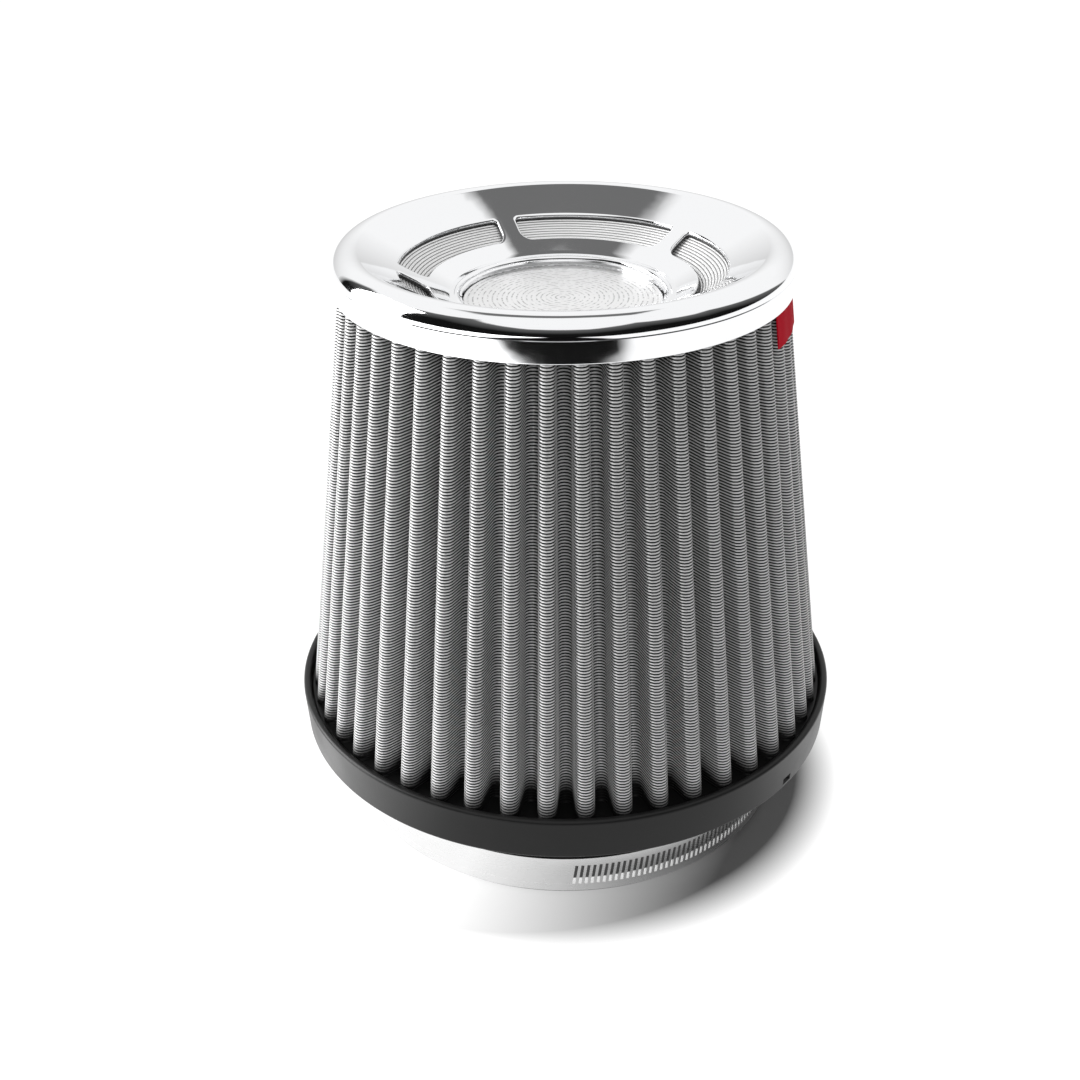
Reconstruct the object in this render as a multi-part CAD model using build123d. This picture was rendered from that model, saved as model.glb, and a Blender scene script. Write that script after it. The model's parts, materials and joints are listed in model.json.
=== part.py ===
from build123d import *
import math
import os

# Cone air filter: a pleated steel mesh cone between a moulded base with a neck and a chromed
# top cap. The axis is +Z, the floor under the neck is z = 0, and the front is -Y. Millimetres.

# Base moulding
base_radius = 70.0
wall_height = 11.1
wall_taper = 0.7
lip_width = 2.1
potting_depth = 2.5
neck_length = 22.4
neck_bore_radius = 50.8
neck_wall = 5.4
base_edge_round = 0.9
neck_root_round = 2.0
nick_angle = 50.5
nick_width = 3.4
nick_height = 1.8
nick_depth = 0.8
nick_lift = 1.3

# Pleated mesh
pleat_count = 46
first_ridge_angle = 2.7
mesh_height = 108.8
ridge_lip_gap = 0.7
ridge_skirt_gap = 0.5
pleat_depth = 9.5
sheet_thickness = 0.8
ridge_fold_base = 2.3
ridge_fold_top = 1.8
valley_fold = 0.9

# Top cap
cap_radius = 54.0
skirt_wall = 0.7
skirt_height = 5.0
skirt_cover = 0.8
groove_depth = 0.4
groove_height = 0.3
bead_round = 4.5
mouth_round = 3.7
mouth_angle = 29.5
mouth_width = 10.9
window_width = 6.8
ring_width = 6.0
spoke_count = 5
first_spoke_angle = 21.0
spoke_width = 5.0
spoke_round_outer = 1.1
spoke_round_inner = 2.5
cap_wall = 1.4
cap_roof_depth = 5.6
seat_land = 3.9
lip_inset = 2.1
lip_rise = 0.5

# Centre disc
disc_thickness = 1.4
disc_recess = 1.9
disc_ledge = 2.4
disc_clearance = 0.2
disc_groove_pitch = 3.2
disc_groove_width = 1.0
disc_groove_depth = 0.3

# Mesh under the windows
screen_thickness = 0.5
screen_land = 2.3

# Hose clamp
band_width = 10.0
band_thickness = 0.65
band_clearance = 0.1
band_lift = 1.3
slot_pitch = 1.5
slot_length = 5.8
slot_width = 0.75
slot_slant = 8.0
slot_first_angle = 1.0
slot_end_margin = 4.0
tail_angle = 24.0
tail_slot_margin = 3.0
tail_corner = 2.5
housing_angle = 122.0
housing_length = 11.0
housing_wall = 0.8
housing_clearance = 0.1
screw_clearance = 0.3
worm_radius = 3.6
worm_end_play = 0.3
shank_radius = 2.0
shank_clearance = 0.08
nose_length = 0.6
head_across_flats = 6.35
head_length = 5.0
head_gap = 0.4
head_slot_width = 1.0
head_slot_depth = 1.6

# Side tag
tag_thickness = 0.3
tag_offset = 0.1
tag_first_angle = 61.0
tag_sweep = 24.0
tag_tuck = 0.6
tag_drop = 8.2

# Levels and radii that several pieces share
neck_outer_radius = neck_bore_radius + neck_wall
lip_top = neck_length + wall_height
potting_floor = lip_top - potting_depth
mesh_top = potting_floor + mesh_height
skirt_bottom = mesh_top - skirt_cover
skirt_inner_radius = cap_radius - skirt_wall
ridge_radius_base = base_radius - lip_width - ridge_lip_gap
ridge_radius_top = skirt_inner_radius - ridge_skirt_gap
skirt_top = skirt_bottom + skirt_height
bead_bottom = skirt_top + groove_height
crest_radius = cap_radius - bead_round
crest_level = bead_bottom + bead_round
window_outer_radius = crest_radius - mouth_width
window_inner_radius = window_outer_radius - window_width
lip_radius = window_inner_radius - ring_width
disc_radius = lip_radius - lip_inset
mouth_slope = math.tan(math.radians(mouth_angle))
mouth_start_radius = crest_radius - mouth_round * math.sin(math.radians(mouth_angle))
mouth_start_level = crest_level - mouth_round * (1 - math.cos(math.radians(mouth_angle)))
roof_level = crest_level - cap_roof_depth


def mouth_level(radius):
    """Height of the straight part of the bell mouth's cone at a radius."""
    return mouth_start_level - (mouth_start_radius - radius) * mouth_slope


outer_seat_level = mouth_level(window_outer_radius) - cap_wall
outer_seat_radius = window_outer_radius + seat_land
inner_edge_level = mouth_level(window_inner_radius) - cap_wall
inner_seat_radius = window_inner_radius - cap_wall
inner_seat_level = inner_edge_level - cap_wall
disc_level = mouth_level(lip_radius) - disc_recess + lip_rise
ledge_level = disc_level - disc_thickness
band_inner_radius = neck_outer_radius + band_clearance
band_outer_radius = band_inner_radius + band_thickness
tail_outer_radius = band_outer_radius + band_thickness
band_middle = band_lift + band_width / 2
screw_axis_radius = tail_outer_radius + screw_clearance + worm_radius


def spun(*corners, angle=360):
    """A solid turned about Z from a section given as (radius, height) corners."""
    return revolve(make_face(Polyline(*[(r, 0, z) for r, z in corners], close=True)), Axis.Z, angle)


def front_turn(angle):
    """A turn about Z that carries the front (-Y) to an angle towards +X."""
    return Rot(0, 0, angle)


def at_housing(solid):
    """A solid modelled at the back (+Y), turned about Z to the clamp housing's angle."""
    return front_turn(housing_angle - 180) * solid


def edges_at(solid, radius, level, reach=0.05):
    """Circular edges of a turned solid at one radius and height."""
    picked = solid.edges().filter_by(GeomType.CIRCLE)
    picked = [e for e in picked if abs(e.radius - radius) < reach]
    return [e for e in picked if abs(e.arc_center.Z - level) < reach]


def make_base_flange():
    """Moulded base: outer wall with a lip, potting floor, underside and neck in one piece."""
    low_radius = base_radius - wall_taper
    body = spun(
        (neck_bore_radius, 0), (neck_outer_radius, 0), (neck_outer_radius, neck_length),
        (low_radius, neck_length), (base_radius, lip_top), (base_radius - lip_width, lip_top),
        (base_radius - lip_width, potting_floor), (neck_bore_radius, potting_floor))
    rims = edges_at(body, low_radius, neck_length) + edges_at(body, base_radius, lip_top)
    rims += edges_at(body, base_radius - lip_width, lip_top)
    body = fillet(rims, base_edge_round)
    body = fillet(edges_at(body, neck_outer_radius, neck_length), neck_root_round)
    body = fillet(edges_at(body, neck_outer_radius, 0), base_edge_round)
    chip = make_face(Polyline((-nick_width / 2, 0, 0), (nick_width / 2, 0, nick_height),
                              (nick_width / 3, 0, 0), close=True))
    nick = Pos(0, -base_radius + nick_depth, neck_length + nick_lift) * extrude(chip, nick_depth, both=True)
    return body - front_turn(nick_angle) * nick


def pleat_wire(level, ridge_radius, ridge_fold, inset):
    """Closed pleat outline at one height; inset moves it inwards through the sheet."""
    step = 2 * math.pi / pleat_count
    ridge_centre = ridge_radius - ridge_fold
    valley_centre = ridge_radius - pleat_depth + valley_fold
    across = Vector(valley_centre * math.cos(step / 2), valley_centre * math.sin(step / 2))
    across = across - Vector(ridge_centre, 0)
    along = across.normalized()
    beside = Vector(along.Y, -along.X)
    cosine = (ridge_fold + valley_fold) / across.length
    lean = along * cosine + beside * math.sqrt(1 - cosine ** 2)
    ridge_arm = ridge_fold - inset
    valley_arm = valley_fold + inset
    ridge_touch = Vector(ridge_centre, 0) + lean * ridge_arm
    valley_touch = Vector(ridge_centre, 0) + across - lean * valley_arm

    def placed(point, angle):
        return (point.X * math.cos(angle) - point.Y * math.sin(angle),
                point.X * math.sin(angle) + point.Y * math.cos(angle), level)

    def mirrored(point):
        return Vector(point.X, -point.Y)

    edges = []
    start = math.radians(first_ridge_angle - 90)
    for index in range(pleat_count):
        turn = start + index * step
        ridge = [placed(mirrored(ridge_touch), turn),
                 placed(Vector(ridge_centre + ridge_arm, 0), turn), placed(ridge_touch, turn)]
        valley = [placed(valley_touch, turn),
                  placed(Vector(valley_centre - valley_arm, 0), turn + step / 2),
                  placed(mirrored(valley_touch), turn + step)]
        edges.append(ThreePointArc(*ridge))
        edges.append(Line(ridge[2], valley[0]))
        edges.append(ThreePointArc(*valley))
        edges.append(Line(valley[2], placed(mirrored(ridge_touch), turn + step)))
    return Wire(edges)


def make_pleated_mesh():
    """Folded mesh sheet: rounded ridges and valleys that run up the cone, one closed ring."""
    def cone(inset):
        low = pleat_wire(potting_floor, ridge_radius_base, ridge_fold_base, inset)
        high = pleat_wire(mesh_top, ridge_radius_top, ridge_fold_top, inset)
        return Solid.make_loft([low, high], ruled=True)
    return cone(0) - cone(sheet_thickness)


def make_top_cap():
    """Chromed cap: skirt, groove, rolled bead, bell mouth, spokes and the ring round the disc."""
    ledge_radius = disc_radius - disc_ledge
    recess_radius = disc_radius + disc_clearance
    ring_end_radius = lip_radius + lip_rise
    ring_end = (ring_end_radius, 0, mouth_level(ring_end_radius))
    lip_crest = (lip_radius - lip_rise, 0, mouth_level(lip_radius) + lip_rise)
    recess_top = (recess_radius, 0, mouth_level(lip_radius) - lip_rise)
    section = [
        Polyline((skirt_inner_radius, 0, skirt_bottom), (cap_radius, 0, skirt_bottom),
                 (cap_radius, 0, skirt_top),
                 (cap_radius - groove_depth, 0, (skirt_top + bead_bottom) / 2),
                 (cap_radius, 0, bead_bottom)),
        ThreePointArc((cap_radius, 0, bead_bottom),
                      (crest_radius + bead_round * math.sqrt(0.5), 0,
                       bead_bottom + bead_round * math.sqrt(0.5)),
                      (crest_radius, 0, crest_level)),
        ThreePointArc((crest_radius, 0, crest_level),
                      (crest_radius - mouth_round * math.sin(math.radians(mouth_angle / 2)), 0,
                       crest_level - mouth_round * (1 - math.cos(math.radians(mouth_angle / 2)))),
                      (mouth_start_radius, 0, mouth_start_level)),
        Line((mouth_start_radius, 0, mouth_start_level), ring_end),
        ThreePointArc(ring_end, lip_crest, recess_top),
        Polyline(recess_top, (recess_radius, 0, ledge_level), (ledge_radius, 0, ledge_level),
                 (ledge_radius, 0, ledge_level - cap_wall),
                 (recess_radius + cap_wall, 0, ledge_level - cap_wall),
                 (recess_radius + cap_wall, 0, inner_seat_level),
                 (inner_seat_radius, 0, inner_seat_level),
                 (window_inner_radius, 0, inner_edge_level),
                 (window_outer_radius, 0, outer_seat_level),
                 (outer_seat_radius, 0, outer_seat_level),
                 (outer_seat_radius, 0, roof_level), (skirt_inner_radius, 0, roof_level),
                 (skirt_inner_radius, 0, skirt_bottom))]
    shell = revolve(make_face(section), Axis.Z)
    openings = Circle(window_outer_radius) - Circle(window_inner_radius)
    spoke = Pos(0, window_outer_radius / 2) * Rectangle(spoke_width, window_outer_radius * 1.1)
    for index in range(spoke_count):
        openings -= Rot(0, 0, first_spoke_angle + index * 360 / spoke_count) * spoke
    corners = sorted(openings.vertices(), key=lambda v: math.hypot(v.X, v.Y))
    openings = fillet(corners[len(corners) // 2:], spoke_round_outer)
    corners = sorted(openings.vertices(), key=lambda v: math.hypot(v.X, v.Y))
    openings = fillet(corners[:2 * spoke_count], spoke_round_inner)
    cut = extrude(Pos(0, 0, ledge_level) * openings, crest_level - ledge_level)
    return shell - cut


def make_top_potting():
    """Cured ring that holds the pleat tops inside the cap."""
    inner = window_outer_radius + screen_land + disc_clearance
    outer = skirt_inner_radius - disc_clearance
    return spun((inner, mesh_top), (outer, mesh_top), (outer, roof_level),
                (outer_seat_radius + disc_clearance, roof_level),
                (outer_seat_radius + disc_clearance, outer_seat_level), (inner, outer_seat_level))


def make_window_screen():
    """Mesh cone under the windows, with a flat land at each rim that lies on the cap."""
    inner = inner_seat_radius - screen_land
    outer = window_outer_radius + screen_land
    low = inner_seat_level - screen_thickness
    high = outer_seat_level - screen_thickness
    return spun((inner, inner_seat_level), (inner_seat_radius, inner_seat_level),
                (window_outer_radius, outer_seat_level), (outer, outer_seat_level), (outer, high),
                (window_outer_radius, high), (inner_seat_radius, low), (inner, low))


def make_centre_disc():
    """Spun plate with concentric grooves that lies on the cap's ledge."""
    body = spun((0, ledge_level), (disc_radius, ledge_level), (disc_radius, disc_level),
                (0, disc_level))
    for index in range(int(disc_radius / disc_groove_pitch) - 1):
        middle = disc_radius - disc_groove_pitch * (index + 1)
        body -= spun((middle - disc_groove_width / 2, disc_level),
                     (middle, disc_level - disc_groove_depth),
                     (middle + disc_groove_width / 2, disc_level))
    return body


def make_clamp_band():
    """Worm clamp band: a ring with slanted slots on one side and a tail laid over it."""
    ring = spun((band_inner_radius, band_lift), (band_outer_radius, band_lift),
                (band_outer_radius, band_lift + band_width),
                (band_inner_radius, band_lift + band_width))
    tail = spun((band_outer_radius, band_lift), (tail_outer_radius, band_lift),
                (tail_outer_radius, band_lift + band_width),
                (band_outer_radius, band_lift + band_width), angle=tail_angle)
    tail_end = [e for e in tail.edges().filter_by(GeomType.LINE)
                if abs(e.length - band_thickness) < 1e-3]
    tail = fillet(sorted(tail_end, key=lambda e: e.center().Y)[-2:], tail_corner)
    slot = Rot(0, slot_slant, 0) * Box(slot_width, 2 * band_thickness, slot_length)
    step = math.degrees(slot_pitch / band_outer_radius)

    def row_of_slots(radius, first, last):
        placed = Pos(0, -radius, band_middle) * slot
        return [front_turn(first + index * step) * placed for index in range(int((last - first) / step))]

    ring_slots = row_of_slots(band_outer_radius - band_thickness / 2, slot_first_angle,
                              housing_angle - slot_end_margin)
    tail_slots = row_of_slots(tail_outer_radius, 180, 180 + tail_angle - tail_slot_margin)
    return (ring - ring_slots) + at_housing(Rot(0, 0, 90) * tail - tail_slots)


def make_clamp_housing():
    """Stamped housing: legs beside the band, an arch over the worm, two end walls."""
    half = housing_length / 2
    leg_inner = band_width + 2 * housing_clearance
    leg_outer = leg_inner + 2 * housing_wall
    arch_inner = worm_radius + screw_clearance
    arch_outer = arch_inner + housing_wall
    foot = band_inner_radius + band_thickness / 4
    shoulder = tail_outer_radius + screw_clearance
    at_axis = Pos(0, screw_axis_radius)
    outside = Pos(0, (foot + shoulder + housing_wall) / 2) * Rectangle(
        leg_outer, shoulder + housing_wall - foot)
    outside += Pos(0, (foot + screw_axis_radius) / 2) * Rectangle(
        2 * arch_outer, screw_axis_radius - foot)
    outside += at_axis * Circle(arch_outer)
    passage = Pos(0, (foot + shoulder) / 2) * Rectangle(leg_inner, shoulder - foot)
    channel = Pos(0, (foot + screw_axis_radius) / 2) * Rectangle(
        2 * arch_inner, screw_axis_radius - foot)
    channel += at_axis * Circle(arch_inner)
    section = Plane(origin=(half, 0, band_middle), x_dir=(0, 0, 1), z_dir=(-1, 0, 0))
    body = extrude(section * (outside - passage), housing_length)
    hollow = Plane(origin=(half - housing_wall, 0, band_middle), x_dir=(0, 0, 1), z_dir=(-1, 0, 0))
    body -= extrude(hollow * channel, housing_length - 2 * housing_wall)
    body -= extrude(section * at_axis * Circle(shank_radius + shank_clearance), housing_length)
    return at_housing(body)


def make_clamp_screw():
    """Worm screw: nose, worm, shank and a slotted hexagon head, along the band."""
    half = housing_length / 2
    worm_length = housing_length - 2 * housing_wall - 2 * worm_end_play
    shank_length = housing_length + nose_length + head_gap
    head_start = -half - head_gap
    along = Plane(origin=(half + nose_length, screw_axis_radius, band_middle),
                  x_dir=(0, 0, 1), z_dir=(-1, 0, 0))
    body = extrude(along * Circle(shank_radius), shank_length)
    body += Plane(origin=(worm_length / 2, screw_axis_radius, band_middle),
                  x_dir=(0, 0, 1), z_dir=(-1, 0, 0)) * extrude(Circle(worm_radius), worm_length)
    hexagon = RegularPolygon(head_across_flats / 2, 6, major_radius=False)
    body += Plane(origin=(head_start, screw_axis_radius, band_middle),
                  x_dir=(0, 0, 1), z_dir=(-1, 0, 0)) * extrude(hexagon, head_length)
    slot = Box(2 * head_slot_depth, head_slot_width, 2 * head_across_flats)
    return at_housing(body - Pos(head_start - head_length, screw_axis_radius, band_middle) * slot)


def make_side_tag():
    """Small plain tag tucked under the skirt, on the ridges."""
    fall = (ridge_radius_base - ridge_radius_top) / mesh_height
    top = skirt_bottom + tag_tuck
    low = skirt_bottom - tag_drop

    def sheet_radius(level):
        return ridge_radius_top + (mesh_top - level) * fall + tag_offset

    sheet = spun((sheet_radius(low), low), (sheet_radius(low) + tag_thickness, low),
                 (sheet_radius(top) + tag_thickness, top), (sheet_radius(top), top),
                 angle=tag_sweep)
    return Rot(0, 0, tag_first_angle - 90) * sheet


nodes = {
    "base_flange": make_base_flange,
    "pleated_mesh": make_pleated_mesh,
    "top_cap": make_top_cap,
    "top_potting": make_top_potting,
    "window_screen": make_window_screen,
    "centre_disc": make_centre_disc,
    "clamp_band": make_clamp_band,
    "clamp_housing": make_clamp_housing,
    "clamp_screw": make_clamp_screw,
    "side_tag": make_side_tag,
}

os.makedirs("parts", exist_ok=True)
for name, make in nodes.items():
    export_step(make(), f"parts/{name}.step")
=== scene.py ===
import cmath
import json
import math

import bmesh
import bpy
from mathutils import Matrix, Vector

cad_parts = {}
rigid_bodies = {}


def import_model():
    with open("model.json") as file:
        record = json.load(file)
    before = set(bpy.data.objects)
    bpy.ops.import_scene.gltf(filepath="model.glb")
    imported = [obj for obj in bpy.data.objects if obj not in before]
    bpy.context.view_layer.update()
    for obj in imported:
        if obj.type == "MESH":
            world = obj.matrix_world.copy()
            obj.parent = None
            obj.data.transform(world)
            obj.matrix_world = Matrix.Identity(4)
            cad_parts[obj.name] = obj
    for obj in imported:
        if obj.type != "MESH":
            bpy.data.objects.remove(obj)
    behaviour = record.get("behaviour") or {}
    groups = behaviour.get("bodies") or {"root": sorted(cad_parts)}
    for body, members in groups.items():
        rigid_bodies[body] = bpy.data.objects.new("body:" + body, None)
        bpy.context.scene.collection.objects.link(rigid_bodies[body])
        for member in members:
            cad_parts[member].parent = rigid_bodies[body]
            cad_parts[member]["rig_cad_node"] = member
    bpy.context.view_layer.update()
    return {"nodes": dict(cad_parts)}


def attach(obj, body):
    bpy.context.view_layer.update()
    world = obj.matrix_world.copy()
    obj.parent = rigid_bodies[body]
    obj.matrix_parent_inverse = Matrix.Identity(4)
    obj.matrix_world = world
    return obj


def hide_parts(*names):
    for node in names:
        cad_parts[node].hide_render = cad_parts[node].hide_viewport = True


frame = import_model()

# Sizes in metres, written in millimetres; vertices closer than MERGE are one
MM = 0.001
MERGE = 0.001 * MM
CORNER_STEPS = 5

# The photograph's camera, placed and turned as a fit to the object's circles gives it
CAMERA_SENSOR = 36.0
CAMERA_NEAR = 0.01
CAMERA_LENS = 48.33
CAMERA_PLACE = (-7.9 * MM, -328.5 * MM, 250.2 * MM)
CAMERA_PITCH = 28.90
CAMERA_YAW = 0.29
CAMERA_ROLL = -0.80

# Base moulding
BASE_RADIUS = 70.0 * MM
WALL_TAPER = 0.7 * MM
LIP_WIDTH = 2.1 * MM
LIP_TOP = 33.5 * MM
POTTING_FLOOR = 31.0 * MM
UNDERSIDE = 22.4 * MM
NECK_BORE = 50.8 * MM
NECK_RADIUS = 56.2 * MM
MOULD_ROUND = 0.9 * MM
NECK_ROOT_ROUND = 2.0 * MM
BASE_STEPS = 256
BASE_SMOOTH = 30
NICK_ANGLE = 50.5
NICK_HALF_ANGLE = 1.5
NICK_LOW = 23.7 * MM
NICK_HIGH = 25.5 * MM
NICK_DEPTH = 0.7 * MM

# Pleated mesh
PLEATS = 46
FIRST_RIDGE = 2.7
MESH_TOP = 139.8 * MM
RIDGE_RADIUS_BASE = 67.2 * MM
RIDGE_RADIUS_TOP = 52.8 * MM
PLEAT_DEPTH = 7.6 * MM
SHEET = 0.8 * MM
RIDGE_FOLD_BASE = 2.3 * MM
RIDGE_FOLD_TOP = 1.8 * MM
VALLEY_FOLD = 1.5 * MM
RIDGE_STEPS = 6
VALLEY_STEPS = 6
WIRES = 148
WIRE_RELIEF = 0.24 * MM
WIRE_ROW = (MESH_TOP - POTTING_FLOOR) / (2 * WIRES)
WIRE_ROW_MATCH = 0.02
WIRE_SMOOTH = 65
# Part of each wire's row where the gaps get painted shade
WIRE_GAP_SHADE = (0.36, 0.62)
# Heights over which the wire darkens towards its foot
FOOT_DARKENING = (4.0 * MM, -1.0 * MM)
RIDGE_FALL = (RIDGE_RADIUS_BASE - RIDGE_RADIUS_TOP) / (MESH_TOP - POTTING_FLOOR)

# Top cap
CAP_RADIUS = 54.0 * MM
CAP_ROOF = 143.2 * MM
SKIRT_INNER = 53.3 * MM
SKIRT_BOTTOM = 139.0 * MM
SKIRT_TOP = 144.0 * MM
SKIRT_EDGE_ROUND = 0.25 * MM
GROOVE_DEPTH = 0.4 * MM
BEAD_BOTTOM = 144.3 * MM
BEAD_ROUND = 4.5 * MM
BEAD_STEPS = 24
CREST_RADIUS = 49.5 * MM
CREST = 148.8 * MM
MOUTH_ROUND = 3.7 * MM
MOUTH_ANGLE = math.radians(29.5)
MOUTH_STEPS = 8
WINDOW_OUTER = 38.6 * MM
WINDOW_INNER = 31.8 * MM
# Depth and radius where the windows' walls get painted shade
WINDOW_WALL_DEPTH = (0.5 * MM, 0.8 * MM)
WINDOW_WALL_RADIUS = (WINDOW_OUTER + 0.4 * MM, WINDOW_OUTER + 0.8 * MM)
WINDOW_EDGE_ROUND = 0.45 * MM
WINDOW_EDGE_STEPS = 4
FILLET_STEPS = 5
SPOKES = 5
FIRST_SPOKE = math.radians(90 + 21)
SPOKE_WIDTH = 5.0 * MM
SPOKE_ROUND_OUTER = 1.1 * MM
SPOKE_ROUND_INNER = 2.5 * MM
SPOKE_COLUMNS = 10
SECTOR_COLUMNS = 64
SECTOR = math.tau / SPOKES
CAP_WALL = 1.4 * MM
SEAT_RADIUS = 42.5 * MM
LIP_RADIUS = 25.8 * MM
LIP_RISE = 0.5 * MM
LIP_DROP = 0.2 * MM
LIP_ROUND = 0.9 * MM
LIP_ARC = (math.radians(30), math.radians(180))
LIP_STEPS = 8
RING_ROWS = (1.6 * MM, 0.5 * MM)
RECESS_RADIUS = 23.9 * MM
LEDGE_RADIUS = 21.3 * MM
LEDGE = 133.14 * MM
CAP_SMOOTH = 35

# Centre disc and window screen
DISC_RADIUS = 23.7 * MM
DISC_LEVEL = 134.54 * MM
DISC_EDGE = 0.6 * MM
DISC_EDGE_ROUND = 0.25 * MM
DISC_RIBS = 20
DISC_RIB_STEP = (DISC_RADIUS - DISC_EDGE) / (2 * DISC_RIBS)
DISC_RIB_RELIEF = 0.08 * MM
DISC_CUT = (0.55, 0.95)
DISC_DASH = (0.4, 0.62)
SCREEN_RIBS = 12
SCREEN_RIB_RELIEF = 0.1 * MM
# Part of each ring where the screen's gaps get painted shade
SCREEN_GAP_SHADE = (0.6, 0.9)
SCREEN_LAND = 2.3 * MM
SCREEN_THICKNESS = 0.5 * MM
PLATE_STEPS = 192
PLATE_SMOOTH = 20

# Hose clamp
BAND_INNER = 56.3 * MM
BAND_LOW = 1.3 * MM
BAND_WIDTH = 10.0 * MM
BAND_THICKNESS = 0.65 * MM
SLOT_FLOOR = 0.15 * MM
SLOT_REACH = 2.9 * MM
SLOT_RAMP = 1.7 * MM
SLOT_SHADE = 0.2 * MM
SLOT_SMOOTH = 10
BAND_ROUND = 0.16 * MM
CASE_ROUND = 0.2 * MM
CLAMP_FLAT = 1
CLAMP_EDGE = 40
CLAMP_EDGE_STEPS = 2
CLAMP_SMOOTH = 30

# Side tag
TAG_FIRST_ANGLE = 61.0
TAG_SWEEP = 24.0
TAG_TOP = 139.6 * MM
TAG_LOW = 130.8 * MM
TAG_OFFSET = 0.1 * MM
TAG_THICKNESS = 0.3 * MM
TAG_SAG = 0.15 * MM
TAG_COLUMNS = 72
TAG_ROWS = 18
TAG_SMOOTH = 40
TAG_THREAD = 0.2 * MM

# Colours
CHROME = (0.92, 0.925, 0.935, 1)
DEEP_RED = (0.6, 0.004, 0.02, 1)
BRIGHT_RED = (0.82, 0.008, 0.035, 1)

# Lamps, and the light that fills the shade
LEFT_WINDOW = {"place": (-0.79, 0.125, 0.39), "target": (0, 0, 0.3), "width": 0.55, "height": 0.76}
LEFT_WINDOW_POWER = 12
FRONT_FILL = {"place": (0.1, -0.9, 0.5), "target": (0, 0, 0.08), "width": 0.5, "height": 0.5}
FRONT_FILL_POWER = 2.0
AMBIENT = 0.47

# Surroundings that bright metal mirrors. Azimuths are in radians from the front, a height is the sine of
# an elevation, and a pair says where a change starts and where it ends.
ROOM_TOP = 0.6
ROOM_TOP_EDGE = 0.05
ROOM_LEFT_PEAK = -1.13
ROOM_LEFT_SPREAD = 0.79
ROOM_LEFT_RISE = 0.28
ROOM_LEFT_END = (-2.4, -2.3)
ROOM_RIGHT_PEAK = 0.73
ROOM_RIGHT_SPREAD = 0.52
ROOM_RIGHT_RISE = 0.17
ROOM_RIGHT_END = (1.4, 2.44)
ROOM_RIGHT_FALL = 0.75
ROOM_DARK = 0.994
ROOM_GLOW = 0.14
ROOM_GLOW_DEPTH = 0.4
PANEL_LEFT = (-0.33, -0.26)
PANEL_RIGHT = (0.29, 0.25)
PANEL_NEAR = (0.18, 0.24)
PANEL_FAR = (0.5, 0.44)
PANEL_DARK = 0.84
BACK_WALL = (0.5, 0.9)
BACK_WALL_HEIGHT = (0.42, 0.02)
BACK_WALL_DARK = 0.3

# Floor: its shadow round the neck and to the lee of the window, and what metal mirrors of it
FLOOR_SIZE = 4.0
FLOOR_SHADE = 0.2
FLOOR_WHITE = 0.95
SHADOW_EDGE = (64 * MM, 75 * MM)
LEE = (0.906, -0.423)
LEE_EDGE = (55 * MM, -5 * MM)
AHEAD_NEAR = (-0.34, -0.38)
AHEAD_LEFT = (-0.34, -0.28)
AHEAD_RIGHT = (0.22, 0.16)
AHEAD_DARK = 0.006
GLARE = 2.6
GLARE_BACK = (10 * MM, -20 * MM)
GLARE_LEFT = (-50 * MM, -90 * MM)
GLARE_RIGHT = (70 * MM, 100 * MM)
GLARE_RIGHT_REACH = (140 * MM, 110 * MM)
GLARE_RIGHT_SHARE = 0.4

FILTER = "filter"
SCREW = "screw"


def deselect_all():
    """Object mode with nothing selected, so that an operator acts on the new piece alone."""
    if bpy.context.mode != "OBJECT":
        bpy.ops.object.mode_set(mode="OBJECT")
    bpy.ops.object.select_all(action="DESELECT")


def edit(piece):
    """Edit mode on one piece alone."""
    deselect_all()
    piece.select_set(True)
    bpy.context.view_layer.objects.active = piece
    bpy.ops.object.mode_set(mode="EDIT")


def pick(piece, kind, wanted):
    """Selects the vertices, edges or faces of the piece being edited that wanted() accepts."""
    bpy.ops.mesh.select_mode(type=kind)
    bpy.ops.mesh.select_all(action="DESELECT")
    mesh = bmesh.from_edit_mesh(piece.data)
    things = {"VERT": mesh.verts, "EDGE": mesh.edges, "FACE": mesh.faces}[kind]
    for thing in things:
        if wanted(thing):
            thing.select_set(True)
    mesh.select_flush_mode()
    bmesh.update_edit_mesh(piece.data)


def radius_of(place):
    """Distance of a place from the filter's axis."""
    return math.hypot(place.x, place.y)


def middle(edge):
    """The place half way along an edge."""
    return (edge.verts[0].co + edge.verts[1].co) / 2


def close_up():
    """Merges doubled vertices of the piece being edited and points its faces outwards."""
    bpy.ops.mesh.select_all(action="SELECT")
    bpy.ops.mesh.remove_doubles(threshold=MERGE)
    bpy.ops.mesh.normals_make_consistent(inside=False)


def draw_section(name, corners):
    """A new piece in edit mode: a closed line through corners given as (radius, height[, rounding])."""
    deselect_all()
    bpy.ops.mesh.primitive_plane_add(size=MM)
    piece = bpy.context.object
    piece.name = name
    piece.data.name = name
    bpy.ops.object.mode_set(mode="EDIT")
    bpy.ops.mesh.select_mode(type="VERT")
    bpy.ops.mesh.select_all(action="SELECT")
    bpy.ops.mesh.merge(type="CENTER")
    places = [Vector((corner[0], 0, corner[1])) for corner in corners]
    bpy.ops.transform.translate(value=places[0])
    for here, there in zip(places, places[1:]):
        bpy.ops.mesh.extrude_vertices_move(TRANSFORM_OT_translate={"value": there - here})
    ends = (places[0], places[-1])
    pick(piece, "VERT", lambda v: min((v.co - end).length for end in ends) < MERGE)
    bpy.ops.mesh.edge_face_add()
    for index, (place, corner) in enumerate(zip(places, corners)):
        if len(corner) > 2:
            before = places[index - 1] - place
            after = places[(index + 1) % len(places)] - place
            reach = corner[2] / math.tan(before.angle(after) / 2)
            pick(piece, "VERT", lambda v: (v.co - place).length < MERGE)
            bpy.ops.mesh.bevel(offset=reach, segments=CORNER_STEPS, affect="VERTICES", clamp_overlap=False)
    return piece


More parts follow.
